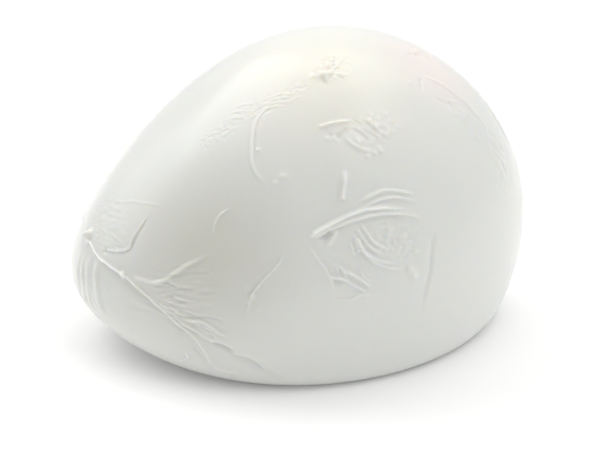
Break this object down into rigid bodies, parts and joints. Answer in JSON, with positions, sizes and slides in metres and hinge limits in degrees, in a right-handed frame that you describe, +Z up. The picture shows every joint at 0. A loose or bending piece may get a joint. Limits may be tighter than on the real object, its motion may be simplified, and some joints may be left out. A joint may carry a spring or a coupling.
{
  "type": "mozzarella ball",
  "caption": "Ball of fresh mozzarella: a hand-torn egg shape with a pinched tail seam and a torn window of skin, lying on its flattened underside.",
  "frame": {"origin": "centre of the bounding box's footprint, on the floor", "axes": "+X from the narrow end with the tail seam towards the blunt end, -Y towards the side with the torn window, +Z up"},
  "size_m": [0.0936, 0.0788, 0.0617],
  "materials": {
    "fresh_mozzarella": "wet semi-gloss, porcelain white, slightly translucent"
  },
  "bodies": {
    "root": {"mozzarella_ball": "fresh_mozzarella"}
  },
  "joints": []
}
